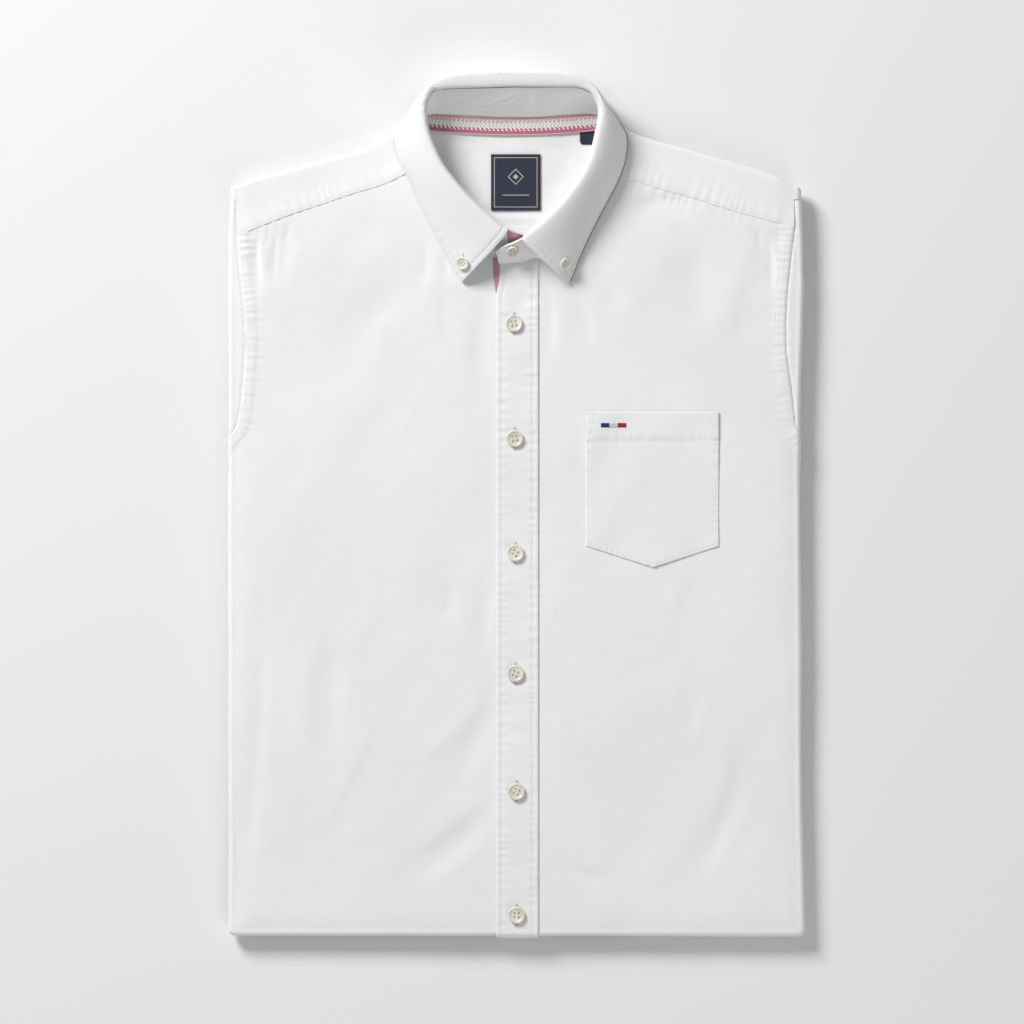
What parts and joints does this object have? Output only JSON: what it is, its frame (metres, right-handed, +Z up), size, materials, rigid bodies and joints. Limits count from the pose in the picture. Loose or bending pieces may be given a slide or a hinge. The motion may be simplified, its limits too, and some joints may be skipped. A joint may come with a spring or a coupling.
{
  "type": "folded dress shirt",
  "caption": "A long-sleeve button-down dress shirt folded flat and lying face up, with a standing collar, a placket and a chest pocket.",
  "frame": {"origin": "On the surface the folded shirt lies on, at the middle of its outline from side to side and from bottom fold to collar.", "axes": "X points to the wearer's left, which is the picture's right. Y points along the shirt from the bottom fold to the collar. Z points up from the surface, out of the buttoned front."},
  "size_m": [0.4499, 0.6744, 0.046],
  "materials": {
    "shirt_cloth": "white cotton poplin, soft and matte",
    "contrast_tape": "pink and pale herringbone tape with a crimson edge",
    "woven_label": "navy woven damask label",
    "flag_stitch": "satin stitch in blue, white and red thirds",
    "button": "ivory, faintly pearly, polished"
  },
  "bodies": {
    "root": {"folded_layers": "shirt_cloth", "front_right": "shirt_cloth", "front_left": "shirt_cloth", "placket": "shirt_cloth", "button_band": "contrast_tape", "yoke": "shirt_cloth", "yoke_inner": "shirt_cloth", "sleeve_right": "shirt_cloth", "sleeve_left": "shirt_cloth", "collar_stand": "shirt_cloth", "collar_leaf": "shirt_cloth", "neck_tape": "contrast_tape", "neck_label": "woven_label", "size_tab": "woven_label", "pocket": "shirt_cloth", "flag_bar": "flag_stitch", "button_1": "button", "button_2": "button", "button_3": "button", "button_4": "button", "button_5": "button", "button_6": "button", "button_stand": "button", "button_collar_right": "button", "button_collar_left": "button"}
  },
  "joints": []
}
